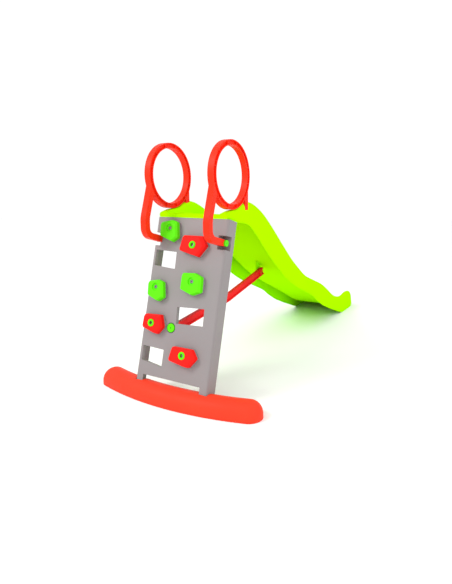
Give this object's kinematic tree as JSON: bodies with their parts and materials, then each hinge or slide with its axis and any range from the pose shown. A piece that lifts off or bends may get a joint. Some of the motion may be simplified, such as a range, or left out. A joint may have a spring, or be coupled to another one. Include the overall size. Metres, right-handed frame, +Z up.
{
  "type": "climbing wall with slide",
  "caption": "Toddler climbing wall that leans back on a bow-shaped base, with bolt-on holds, windows and two ring handles, joined to a moulded slide by a bent brace.",
  "frame": {"origin": "on the floor under the middle of the bounding box", "axes": "+Z up, +Y from the climbing side towards the foot of the slide, +X to the climber's right"},
  "size_m": [0.924, 2.2939, 1.2158],
  "materials": {
    "panel_plastic": "satin moulded",
    "slide_plastic": "smooth moulded",
    "green_plastic": "smooth moulded",
    "red_plastic": "smooth moulded",
    "handle_plastic": "smooth moulded",
    "base_plastic": "satin moulded",
    "steel": "zinc plated"
  },
  "bodies": {
    "root": {"base_bow": "base_plastic", "base_screws": "steel", "brace": "base_plastic", "brace_cap_bolt": "green_plastic", "brace_foot_nut": "steel", "brace_slide_bolt": "steel", "climbing_panel": "panel_plastic", "deck_screws": "steel", "handle_foot_bolt_left": "green_plastic", "handle_foot_bolt_right": "green_plastic", "handle_foot_nuts": "steel", "handle_left": "handle_plastic", "handle_leg_screws": "steel", "handle_right": "handle_plastic", "hold_bolts": "steel", "hold_green_mid_left": "green_plastic", "hold_green_mid_right": "green_plastic", "hold_green_top_left": "green_plastic", "hold_nuts": "steel", "hold_red_bottom_right": "red_plastic", "hold_red_low_left": "red_plastic", "hold_red_top_right": "red_plastic", "hold_ring_caps": "green_plastic", "slide_body": "slide_plastic"}
  },
  "joints": []
}
